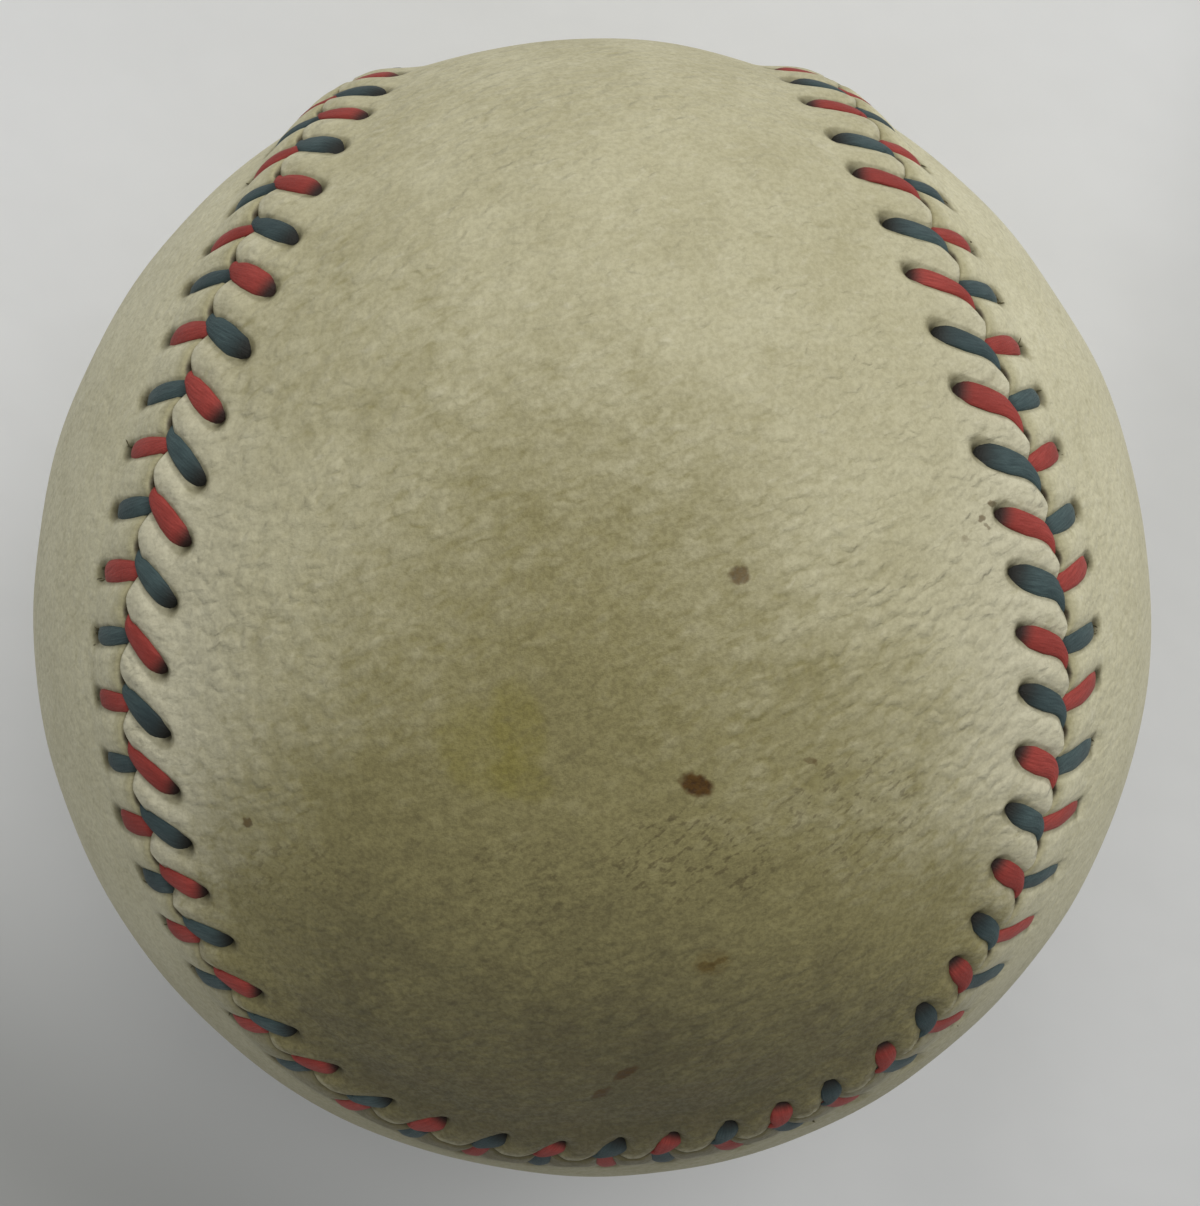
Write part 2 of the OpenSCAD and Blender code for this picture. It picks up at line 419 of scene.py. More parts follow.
# The arc's course in degrees, and how much of it there is beside an even course
ARC_WAVE = 125.75
ARC_RIPPLE = 7.45
ARC_END = 118.3
ARC_SHARE = 0.75
# The place beside the seam that the arc's points are given, in millimetres
ARC_PLACE = 40.0


def slit_line(along):
    """How far the closed slit swings to and fro between the stitches."""
    phase = stitch_at(along) % 1
    low_right = bell((along / PITCH - LOW_RIGHT_STITCH) / LOW_RIGHT_SPREAD)
    swing = SLIT_SWING + SLIT_SWING_MORE * low_right
    return (SLIT_PLACE + swing * np.cos(2 * math.pi * (phase - SLIT_PHASE))) * MM


def slit_half(along):
    """Half the width of the slit."""
    count = stitch_at(along)
    down = seam_end[np.round(count + TAIL_PHASE).astype(int) % STITCHES]
    behind = wrapped(along - down) + TAIL_REACH * np.interp(count, np.arange(STITCHES), tail)
    return SLIT + SLIT_OPEN * bell(behind / SLIT_OPEN_W)


def middle_arc(side, turn):
    """Places on the arc in a panel's middle, where the rows from both its edges meet."""
    s = np.abs(evened(turn))
    wave = np.radians(ARC_WAVE * np.cos(s) - ARC_RIPPLE * np.cos(3 * s))
    angle = ARC_SHARE * wave + (1 - ARC_SHARE) * math.radians(ARC_END) * (1 - 2 * s / math.pi)
    zero = 0 * angle
    if side > 0:
        return np.stack([zero, np.cos(angle), np.sin(angle)], -1)
    return np.stack([np.sin(angle), -np.cos(angle), zero], -1)


class Shell:
    """Collects a mesh row by row, with a place beside the seam and a measure of grime and painted shade for
    each point.
    """

    def __init__(self):
        self.points = []
        self.seams = []
        self.dirts_and_shades = []
        self.faces = []
        self.count = 0

    def row(self, points, seams, dirts_and_shades):
        n = len(points)
        self.points.append(points)
        self.seams.append(seams)
        self.dirts_and_shades.append(dirts_and_shades)
        self.count += n
        return np.arange(self.count - n, self.count)

    def clean_row(self, points, along, away):
        """A row far from every hole, with no grime and no painted shade. Its places beside the seam are in
        metres.
        """
        far = np.full(len(points), FAR_OFF)
        return self.row(points, np.stack([along, away, far], -1) / MM, np.zeros((len(points), 3)))

    def bridge(self, a, b, flip):
        """Faces between two closed rows, the second of which may have half as many points."""
        after_b = np.roll(b, -1)
        if len(a) == len(b):
            faces = np.stack([a, np.roll(a, -1), after_b, b], -1)
        else:
            faces = np.stack([a[::2], a[1::2], np.roll(a[::2], -1), after_b, b], -1)
        if flip:
            faces = faces[:, ::-1]
        self.faces += faces.tolist()


def near_row(shell, along, side, away, drop):
    """A row of the outer surface at a distance from the panel's edge."""
    fade = 1 - ease(away / SLIT_FADE)
    off = slit_line(along) * fade + side * (slit_half(along) * fade + away)
    direction = beside(along, off)
    height, to_leg, to_hole = seam_relief(along, off)
    height = height - drop + dents(direction) * ease(away / NEAR_W)
    opened = (slit_half(along) - SLIT) / SLIT_OPEN
    # Masks that darken the leather with grime and painted shade: in the slit, along the legs' edges and in
    # the holes
    slit = bell(away / SLIT_SHADE_AND_DIRT_W) * (CLOSED_SHADE_AND_DIRT + OPEN_SHADE_AND_DIRT * opened)
    leg = bell(np.maximum(to_leg, 0) / LEG_SHADE_AND_DIRT_W)
    hole = bell(to_hole / HOLE_SHADE_AND_DIRT_W)
    points = direction * (ball_radius(direction) + height)[:, None]
    seams = np.stack([along, np.abs(off), to_hole], -1) / MM
    return shell.row(points, seams, np.stack([hole, slit, leg], -1))


def far_rows(shell, edge, along, side, count, radius):
    """Rows from near the seam to the arc in the panel's middle. The last is shared by both its edges."""
    half = len(along) // 2
    first = half if side > 0 else half + half // 2
    steps = (np.arange(len(along)) - first) % len(along)
    fold = np.minimum(steps, len(along) - steps)
    arc = middle_arc(side, math.pi * np.arange(half + 1) / half)
    rows = []
    for share in np.arange(1, count + 1) / (count + 1):
        direction = unit(edge * (1 - share) + arc[fold] * share)
        away = NEAR_W + np.arccos(np.clip((direction * edge).sum(-1), -1, 1)) * BALL_R
        rows.append(shell.clean_row(direction * radius(direction)[:, None], along, away))
    places = np.full((half + 1, 3), ARC_PLACE)
    ends = shell.row(arc * radius(arc)[:, None], places, np.zeros((half + 1, 3)))
    rows.append(ends[fold])
    return rows


def outer_radius(direction):
    return ball_radius(direction) + dents(direction)


def inner_radius(direction):
    return np.full(len(direction), LEATHER_IN)


def outer_rows(shell, along, side):
    """The panel's rounded edge, the leather near the seam and the rest of its outer side."""
    rows = []
    for angle in np.radians(EDGE_ANGLES):
        away = EDGE_R * (1 - math.cos(angle))
        drop = EDGE_R * (1 - math.sin(angle))
        rows.append(near_row(shell, along, side, away, drop))
    for i in range(1, NEAR_ROWS + 1):
        away = EDGE_R + (NEAR_W - EDGE_R) * i / NEAR_ROWS
        rows.append(near_row(shell, along, side, away, 0))
    coarse = along[::2]
    rim = beside(coarse, side * (NEAR_W + 0 * coarse))
    return rows + far_rows(shell, rim, coarse, side, FAR_ROWS, outer_radius)


def inner_rows(shell, coarse, side):
    """The panel's inner side: the thinned margin, and the part that lies on the yarn."""
    rows = []
    margin_end = MARGIN_W + MARGIN_STEP
    for away, radius in ((MARGIN_START, MARGIN_R), (MARGIN_MIDDLE, MARGIN_R), (MARGIN_W, MARGIN_R),
                         (margin_end, LEATHER_IN)):
        direction = beside(coarse, side * away + 0 * coarse)
        rows.append(shell.clean_row(direction * radius, coarse, 0 * coarse + away))
    rim = beside(coarse, side * margin_end + 0 * coarse)
    return rows + far_rows(shell, rim, coarse, side, FAR_INNER_ROWS, inner_radius)


def make_panel(name, side):
    shell = Shell()
    along = SEAM * (np.arange(COLUMNS) / COLUMNS - 0.5)
    outer = outer_rows(shell, along, side)
    inner = [outer[0]] + inner_rows(shell, along[::2], side)
    for a, b in zip(outer, outer[1:]):
        shell.bridge(a, b, side < 0)
    for a, b in zip(inner, inner[1:]):
        shell.bridge(a, b, side > 0)
    attributes = {"seam": np.concatenate(shell.seams), "dirt": np.concatenate(shell.dirts_and_shades)}
    return make_piece(name, np.concatenate(shell.points), shell.faces, attributes)


def make_piece(name, points, faces, attributes):
    mesh = bpy.data.meshes.new(name)
    mesh.from_pydata(points.tolist(), [], faces)
    mesh.polygons.foreach_set("use_smooth", np.ones(len(mesh.polygons), bool))
    for key, values in attributes.items():
        attribute = mesh.attributes.new(key, "FLOAT_VECTOR", "POINT")
        attribute.data.foreach_set("vector", values.astype(np.float32).ravel())
    mesh.update()
    piece = bpy.data.objects.new(name, mesh)
    bpy.context.scene.collection.objects.link(piece)
    return piece


# Threads. Each is one closed tube: up through a hole, over the leather to the seam, down in the slit, and
# under the other panel to the next stitch's hole there

SIDES = 24
PLIES = 5
PLY_RISE = 0.035
PLY_TWIST = 1.1
# Sizes of the legs, and of the stretches in the hole, down in the slit and under the leather. The steps are
# the rings for each guide point
LEG_T = 0.50 * MM
LEG_FLATNESS = 0.8
LEG_LEAST_T = 0.2 * MM
LEG_STEPS = 3
HOLE_W = 0.56 * MM
HOLE_T = 0.50 * MM
DOWN_LEAST_W = 0.3 * MM
DOWN_T = 0.4 * MM
RUN_R = COTTON_R + 0.29 * MM
RUN_W = 0.62 * MM
RUN_T = 0.46 * MM
RUN_SHARES = (0.15, 0.5, 0.85)
HIDDEN_STEPS = 2
HOLE_LIFT = 0.25 * MM
DOWN_LIFT = 0.2 * MM
# How faded the legs on each panel are at the hole, and how dark with painted shade and grime, and how
# fast that falls towards the seam. The last pair is how the painted shade rises again at the seam
FADE = {1: (0.5, 2.0), -1: (1.0, 3.2)}
DARK = {1: (1.5, 3.7), -1: (1.0, 5.0)}
DARK_START = 3.3
DARK_RISE = 4.0


class Path:
    """Guide points of a thread: place, width, thickness, side direction, fading and painted shade, and steps
    to the next.
    """

    def __init__(self):
        self.rows = []

    def add(self, place, width, thick, across, fade, dark, steps):
        self.rows.append((place, (width, thick, fade, dark), across, steps))

    def rings(self):
        """Places, sizes and side directions of the rings on a smooth closed curve through the points."""
        places = np.array([row[0] for row in self.rows])
        sizes = np.array([row[1] for row in self.rows])
        across = np.array([row[2] for row in self.rows])
        found = []
        for values in (places, sizes, across):
            before = np.roll(values, 1, 0)
            after = np.roll(values, -1, 0)
            beyond = np.roll(values, -2, 0)
            out = []
            for i, row in enumerate(self.rows):
                t = (np.arange(row[3]) / row[3])[:, None]
                if values is places:
                    out.append(0.5 * (2 * values[i] + (after[i] - before[i]) * t
                                      + (2 * before[i] - 5 * values[i] + 4 * after[i] - beyond[i]) * t ** 2
                                      + (3 * (values[i] - after[i]) + beyond[i] - before[i]) * t ** 3))
                else:
                    out.append(values[i] * (1 - t) + after[i] * t)
            found.append(np.concatenate(out))
        return found


def leg_points(path, k, side):
    """Guide points of one leg: up through its hole, and over the leather to where it goes down."""
    row = legs[side]
    along = row.places[k, :, 0]
    off = row.places[k, :, 1]
    direction = beside(along, off)
    height = seam_relief(along, off)[0] + row.lifts
    points = direction * (ball_radius(direction) + height)[:, None]
    heading = unit(np.gradient(points, axis=0))
    across = unit(np.cross(direction, heading))
    below = direction[0] * (RUN_R + HOLE_LIFT)
    path.add(below, HOLE_W, HOLE_T, across[0], 0, 1, HIDDEN_STEPS)
    fade_start, fade_fall = FADE[side]
    dark_start, dark_fall = DARK[side]
    for i in range(len(points)):
        share = i / (len(points) - 1)
        width = row.widths[k, i]
        thick = min(LEG_T, max(width * LEG_FLATNESS, LEG_LEAST_T))
        fade = max(0, fade_start - fade_fall * share)
        # Painted shade with grime: dark at the hole, lighter towards the seam, and dark again where the leg
        # goes down
        dark = max(0, dark_start - dark_fall * share) + max(0, DARK_RISE * share - DARK_START)
        path.add(points[i], width, thick, across[i], fade, dark, LEG_STEPS)
    last = direction[-1] * (RUN_R + DOWN_LIFT)
    path.add(last, max(row.widths[k, -1], DOWN_LEAST_W), DOWN_T, across[-1], 0, 1, HIDDEN_STEPS)
    return direction[-1]


def thread_path(first_side):
    """The whole course of a thread, and the stitches whose leg it lays on panel B."""
    path = Path()
    on_panel_b = []
    for k in range(STITCHES):
        side = first_side if NUMBERS[k] % 2 == 0 else -first_side
        if side < 0:
            on_panel_b.append(k)
        down = leg_points(path, k, side)
        ahead = legs[-side].hole[(k + 1) % STITCHES]
        hole = beside(ahead[:1], ahead[1:])[0]
        for share in RUN_SHARES:
            direction = unit(down * (1 - share) + hole * share)
            across = -unit(np.cross(direction, hole - down))
            path.add(direction * RUN_R, RUN_W, RUN_T, across, 0, 1, HIDDEN_STEPS)
    return path, on_panel_b


# A tuft of fibres at a hole. Their lengths and the places of their roots are in millimetres, and the rest
# says how much they point away from the seam, aside and outwards
FIBRES = 16
FIBRE_RINGS = 5
FIBRE_R = 0.08 * MM
FIBRE_TAPER = 0.75
FIBRE_BEND = 0.6
FIBRE_ROOT = 0.05 * MM
FIBRE_LENGTHS = (0.15, 0.40)
ROOT_SPREAD = 0.2
ROOT_NEARER = 0.12
ROOT_NEARER_SPREAD = 0.09
AWAY_SHARES = (0.2, 1.0)
OUTWARD_SHARES = (0.3, 0.9)
LEAN_SPREAD = 0.9
BEND_SPREAD = 1.2
BEND_DOWN = 0.5
AWAY_STEP = 0.4 * MM


def frayed_end(k, first_point):
    """A tuft of short bent fibres at a hole on panel B. Each is a closed three-sided spike."""
    hole = legs[-1].hole[k]
    along = hole[0] + rng.normal(0, ROOT_SPREAD, FIBRES) * MM
    off = hole[1] - rng.normal(ROOT_NEARER, ROOT_NEARER_SPREAD, FIBRES) * MM
    root = beside(along, off)
    out = unit(root - beside(along, off + AWAY_STEP))
    aside = np.cross(root, out)
    lean = rng.normal(0, LEAN_SPREAD, (FIBRES, 1))
    away = rng.uniform(*AWAY_SHARES, (FIBRES, 1))
    outward = rng.uniform(*OUTWARD_SHARES, (FIBRES, 1))
    way = unit(out * away + aside * lean + root * outward)
    bend = unit(out + aside * rng.normal(0, BEND_SPREAD, (FIBRES, 1)) - BEND_DOWN * root)
    length = rng.uniform(*FIBRE_LENGTHS, (FIBRES, 1)) * MM
    start = root * (ball_radius(root) + seam_relief(along, off)[0] - FIBRE_ROOT)[:, None]
    right = unit(np.cross(way, root))
    high = unit(np.cross(way, np.cross(way, root)))
    points = []
    for ring in range(FIBRE_RINGS):
        share = ring / FIBRE_RINGS
        centre = start + (way * share + bend * FIBRE_BEND * share ** 2) * length
        radius = FIBRE_R * (1 - FIBRE_TAPER * share)
        for corner in range(3):
            turn = 2 * math.pi * corner / 3
            points.append(centre + radius * (math.cos(turn) * right + math.sin(turn) * high))
    points.append(start + (way + bend * FIBRE_BEND) * length)
    points = np.stack(points, 1)
    count = points.shape[1]
    faces = []
    for fibre in range(FIBRES):
        base = first_point + fibre * count
        faces.append([base, base + 1, base + 2])
        for ring in range(FIBRE_RINGS - 1):
            for corner in range(3):
                a = base + 3 * ring + corner
                b = base + 3 * ring + (corner + 1) % 3
                faces.append([a, a + 3, b + 3, b])
        top = base + 3 * (FIBRE_RINGS - 1)
        faces += [[top + corner, base + count - 1, top + (corner + 1) % 3] for corner in range(3)]
    return points.reshape(-1, 3), faces


def make_thread(name, first_side):
    path, on_panel_b = thread_path(first_side)
    places, sizes, across = path.rings()
    course = unit(np.roll(places, -1, 0) - np.roll(places, 1, 0))
    across = unit(across - course * (across * course).sum(-1, keepdims=True))
    high = np.cross(course, across)
    run = np.cumsum(np.linalg.norm(np.diff(places, axis=0, prepend=places[:1]), axis=-1)) / MM
    angle = 2 * math.pi * np.arange(SIDES) / SIDES - math.pi / 2
    lobe = 1 + PLY_RISE * np.cos(PLIES * angle[None] + PLY_TWIST * run[:, None])
    wide = sizes[:, :1] / 2 * np.cos(angle) * lobe
    tall = sizes[:, 1:2] / 2 * np.sin(angle) * lobe
    tube = places[:, None] + across[:, None] * wide[..., None] + high[:, None] * tall[..., None]

    ring = np.arange(len(places))[:, None] * SIDES
    after = np.roll(ring, -1, 0)
    side = np.arange(SIDES)[None]
    next_side = (side + 1) % SIDES
    faces = np.stack([ring + side, ring + next_side, after + next_side, after + side], -1)
    faces = faces.reshape(-1, 4).tolist()
    around = np.broadcast_to(np.arange(SIDES) / SIDES, (len(places), SIDES))
    strand = np.stack([around, np.broadcast_to(run[:, None], around.shape), 0 * around], -1)
    wear_and_shade = np.stack([np.broadcast_to(sizes[:, 2:3], around.shape),
                     np.broadcast_to(sizes[:, 3:4], around.shape), 0 * around], -1)

    points = [tube.reshape(-1, 3)]
    for k in on_panel_b:
        tuft, tuft_faces = frayed_end(k, sum(len(part) for part in points))
        points.append(tuft)
        faces += tuft_faces
    points = np.concatenate(points)
    tufts = np.tile([0.0, 0.0, 1.0], (len(points) - around.size, 1))
    return make_piece(name, points, faces,
                      {"strand": np.concatenate([strand.reshape(-1, 3), 0 * tufts]),
                       "wear_and_shade": np.concatenate([wear_and_shade.reshape(-1, 3), tufts])})


# Materials. Noise scales are per millimetre. A ramp is given by the two values that it runs between, and by
# what they become if that isn't 0 and 1


class Nodes:
    """A material's node tree, with short ways to add the nodes used here."""

    def __init__(self, name):
        self.material = bpy.data.materials.new(name)
        self.material.use_nodes = True
        self.tree = self.material.node_tree
        self.shader = self.tree.nodes["Principled BSDF"]

    def add(self, kind, inputs=(), **settings):
        node = self.tree.nodes.new("ShaderNode" + kind)
        for key, value in settings.items():
            setattr(node, key, value)
        for key, value in dict(inputs).items():
            self.put(node.inputs[key], value)
        return node

    def put(self, socket, value):
        if isinstance(value, bpy.types.NodeSocket):
            self.tree.links.new(value, socket)
        else:
            socket.default_value = value

    def set(self, **inputs):
        """Sets or links the shader's inputs. An underscore stands for a space in an input's name."""
        for key, value in inputs.items():
            self.put(self.shader.inputs[key.replace("_", " ").title()], value)

    def specular(self, value):
        self.shader.inputs["Specular IOR Level"].default_value = value

    def place(self):
        """Place on the object, in millimetres."""
        at = self.add("TexCoord").outputs["Object"]
        return self.add("VectorMath", {0: at, "Scale": 1 / MM}, operation="SCALE").outputs["Vector"]

    def stretch(self, at, scale, tilt):
        """A place in a pattern that is stretched along three ways and turned in the view, in degrees."""
        turn = (0, 0, math.radians(tilt))
        mapping = self.add("Mapping", {"Vector": at, "Scale": scale, "Rotation": turn}, vector_type="TEXTURE")
        return mapping.outputs["Vector"]

    def noise(self, at, scale, detail=2.0, roughness=0.5):
        node = self.add("TexNoise", {"Vector": at, "Scale": scale, "Detail": detail, "Roughness": roughness})
        return node.outputs["Fac"]

    def shift(self, at, scale):
        """A smooth random vector at a place, each part of it from 0 to 1."""
        return self.add("TexNoise", {"Vector": at, "Scale": scale, "Detail": 2.0}).outputs["Color"]

    def math(self, operation, a, b=0.0):
        return self.add("Math", {0: a, 1: b}, operation=operation).outputs[0]

    def plus(self, a, b):
        return self.math("ADD", a, b)

    def times(self, a, b):
        return self.math("MULTIPLY", a, b)

    def vector_sum(self, a, b):
        return self.add("VectorMath", {0: a, 1: b}, operation="ADD").outputs["Vector"]

    def ramp(self, value, low, high, to_low=0.0, to_high=1.0):
        node = self.add("MapRange", {"Value": value, "From Min": low, "From Max": high, "To Min": to_low,
                                     "To Max": to_high}, interpolation_type="SMOOTHSTEP")
        return node.outputs["Result"]

    def mix(self, share, a, b, blend="MIX"):
        node = self.add("Mix", {"Factor": share}, data_type="RGBA", blend_type=blend)
        self.put(node.inputs[6], a)
        self.put(node.inputs[7], b)
        return node.outputs[2]

    def parts(self, name):
        """The three numbers that a mesh's attribute holds for each point."""
        vector = self.add("Attribute", attribute_name=name).outputs["Vector"]
        return self.add("SeparateXYZ", {0: vector}).outputs

    def bump(self, height, size, normal=None):
        inputs = {"Height": height, "Distance": size}
        if normal is not None:
            inputs["Normal"] = normal
        return self.add("Bump", inputs).outputs["Normal"]


def colour(r, g, b):
    return (r, g, b, 1)


# Marks on the leather: where each shows in the photograph, half its length in millimetres, its share of
# that length across, its tilt in the view in degrees, and how strong it is
RUST_MARKS = [((740, 575), 0.60, 0.85, 0, 0.75), ((697, 785), 0.98, 0.62, 25, 1.0),
              ((248, 822), 0.30, 0.8, 0, 0.7), ((811, 761), 0.38, 0.5, 20, 0.5),
              ((626, 1072), 0.8, 0.35, -30, 0.8), ((601, 1092), 0.7, 0.35, -35, 0.7),
              ((992, 503), 0.28, 0.7, 0, 0.7), ((983, 518), 0.24, 0.6, -20, 0.65),
              ((987, 526), 0.24, 0.5, 40, 0.5), ((966, 538), 0.30, 0.6, 0, 0.3)]
ORANGE_MARKS = [((712, 962), 1.1, 0.75, -10, 0.3), ((706, 966), 0.5, 0.7, 0, 0.6),
                ((719, 961), 0.55, 0.35, -25, 0.5)]
YELLOW_MARKS = [((478, 752), 2.8, 0.75, 60, 0.42), ((518, 725), 2.4, 0.6, 75, 0.45),
                ((520, 780), 1.8, 0.6, 20, 0.4)]
# Places with more soil, and places with dark flecks, given in the same way
SOIL_AREAS = [((330, 850), 8.0, 0.8, 0, 0.10), ((870, 720), 6.5, 0.8, 0, 0.09),
              ((330, 330), 8.0, 0.8, 0, 0.15)]
FLECK_AREAS = [((690, 860), 5.0, 0.6, 0, 1.0), ((850, 815), 4.5, 0.9, 0, 0.8),
               ((520, 890), 4.5, 0.7, 0, 0.6), ((290, 880), 4.0, 0.7, 0, 0.6)]
# Where a mark's soft edge starts and ends, and how deep it reaches into the ball for its half length
MARK_EDGE = (0.4, 1.4)
MARK_DEPTH = 4
MARK_LEAST_DEPTH = 2


def mark(nodes, at, spot, size, narrow, tilt, strength):
    """A soft-edged oval on the ball's surface."""
    centre = seen_at(*spot) * BALL_R / MM
    angle = math.radians(tilt)
    length_way = view_right * math.cos(angle) - view_up * math.sin(angle)
    cross_way = view_right * math.sin(angle) + view_up * math.cos(angle)
    depth = MARK_DEPTH * size + MARK_LEAST_DEPTH
    away = nodes.add("VectorMath", {0: at, 1: tuple(centre)}, operation="SUBTRACT").outputs["Vector"]
    total = None
    for way, half in ((length_way, size), (cross_way, size * narrow), (view_back, depth)):
        part = nodes.add("VectorMath", {0: away, 1: tuple(way / half)}, operation="DOT_PRODUCT")
        square = nodes.times(part.outputs["Value"], part.outputs["Value"])
        total = square if total is None else nodes.plus(total, square)
    return nodes.ramp(total, *MARK_EDGE, strength, 0.0)


# Soil tones, which low on the front also paint shade
SOILED = colour(0.118, 0.103, 0.047)
BROWN_SOIL = colour(0.145, 0.122, 0.056)
HALF_SOILED = colour(0.288, 0.252, 0.108)
FLECK = colour(0.095, 0.070, 0.028)
RUST = colour(0.118, 0.054, 0.002)
DEEP_RUST = colour(0.055, 0.024, 0.002)
ORANGE = colour(0.125, 0.070, 0.003)
YELLOWED = colour(0.240, 0.205, 0.032)
HALO = colour(0.17, 0.145, 0.055)
# Near black, for painted shade with grime in the holes and at the threads' dark ends, and dark brown, for
# painted shade with grime in the slit
SHADE_AND_GRIME = colour(0.011, 0.009, 0.006)
SLIT_BROWN = colour(0.050, 0.034, 0.020)
SPECKLE = colour(0.55, 0.53, 0.50)
FRAYED = colour(0.095, 0.082, 0.036)

# The leather's patterns, with slants in degrees and sizes in millimetres
GRAIN_TILT = 25
STREAK_TILT = 36
PEBBLE_SIZE = (1.45, 0.72, 1.00)
CREASE_SIZE = (1.35, 0.42, 0.75)
STREAK_SIZE = (0.75, 0.36, 0.60)
BEND_SCALE = 0.7
RAGGED_SCALE = 2.2
RAGGED_SIZE = 0.45
PEBBLE_SMOOTHNESS = 0.35
PEBBLE_TOP = (0.75, 0.05)
WRINKLE_STRETCH = 0.22
# An even spread over nearly all that a noise gives
EVENLY = (0.3, 0.7)

# Soil from handling and painted shade, by place and distance in millimetres and by the leather's patterns
SIDE_RATE = 0.035
BARE_SIDES = (-26.0, -4.0, 0.2, 1.2)
LOW_PATCHES = (0.3, 0.7, -1.8, 1.8)
# Soil rising towards the bottom of the front, which also paints the shade there
SOIL_AND_SHADE_DOWN = (-23.0, 39.5)
SOIL_MIDDLE = (-2.0, 5.0, BALL_R / MM)
SOIL_ROUND = (18.0, 3.0, 0.0, 0.20)
FRONT_HALF = (-6.0, 6.0)
SOIL_BY_SEAM = (0.6, 3.5)
LESS_BY_SEAM = 0.78
SMALL_PATCHES = (0.35, 0.8, -0.04, 0.08)
PATCHES = (0.45, 0.75, 0.0, 0.06)
PEBBLE_SOIL = (0.1, 0.8, 0.09, -0.03)
CREASE_SOIL = (0.5, 0.25, 0.0, 0.22)
VALLEY_SHARE = 0.55

# How the patterns and the soil show in the colour, with painted highlights and painted shade
# Pale crease ridges: partly worn, partly a painted highlight on the ridges
PALE_CREASES = (0.58, 0.78, 0.0, 0.35)
# Paler towards the left and right of the view: a painted sheen, stronger on soiled leather
PALE_SIDES = (8.0, 22.0)
PALE_SIDES_SHARE = 0.2
PALE_SIDES_SOILED = 0.6
HALF_SOIL = (0.0, 0.6)
FULL_SOIL = (0.50, 1.0)
FLECKS = (0.54, 0.66, 0.0, 0.55)
YELLOW_CREASES = (0.2, 0.6, 0.5, 1.0)
RUST_SPECKS = (0.35, 0.65)
HALO_RING = (1.2, 0.4)
HALO_PATCHES = (0.3, 0.6, 0.3, 1.0)
LIP_EDGE = (0.75, 0.25, 0.0, 0.3)
LIP_CLEAR = (0.8, 0.2)
# Panel B darker beside the seam and towards the bottom of the view: partly soil, partly painted shade
SIDE_EDGE = (1.6, 0.2, 0.0, 0.55)
SIDE_UNDER = (-12.0, -32.0)
SIDE_UNDER_BY_SEAM = (6.0, 1.5, 0.5, 1.0)
SIDE_UNDER_SHARE = 0.95
SPECKS = (0.36, 0.66)
SPECKS_BY_SOIL = (0.0, 0.7, 0.30, 0.60)
SLIT_SHADE_AND_DIRT = (0.25, 0.95, 0.0, 0.95)
HOLE_SHADE_AND_DIRT = (0.35, 0.95)
LEG_SHADE_AND_DIRT = (0.5, 1.0, 0.0, 0.45)

# How high the patterns stand. Soil fills the creases and pebbles, and clean leather has less of both
WRINKLE_HEIGHT = 0.10 * MM
CREASE_HEIGHT = 0.09 * MM
PEBBLE_HEIGHT = 0.110 * MM
FINE_HEIGHT = 0.055 * MM
CLEAN_RELIEF = 0.5
SOILED_RELIEF = 0.5
WRINKLES_BY_SEAM = (2.5, 8.0, 1.0, 0.0)
ROUGH_PATCHES = (0.35, 0.65, 0.8, 1.2)
CREASES_BY_SOIL = (0.0, 0.4, 1.0, 0.15)
PEBBLES_BY_SOIL = (0.05, 0.5, 1.0, 0.3)
LEATHER_GLOSS = (0.3, 0.7, 0.50, 0.66)
LEATHER_SPECULAR = 0.35


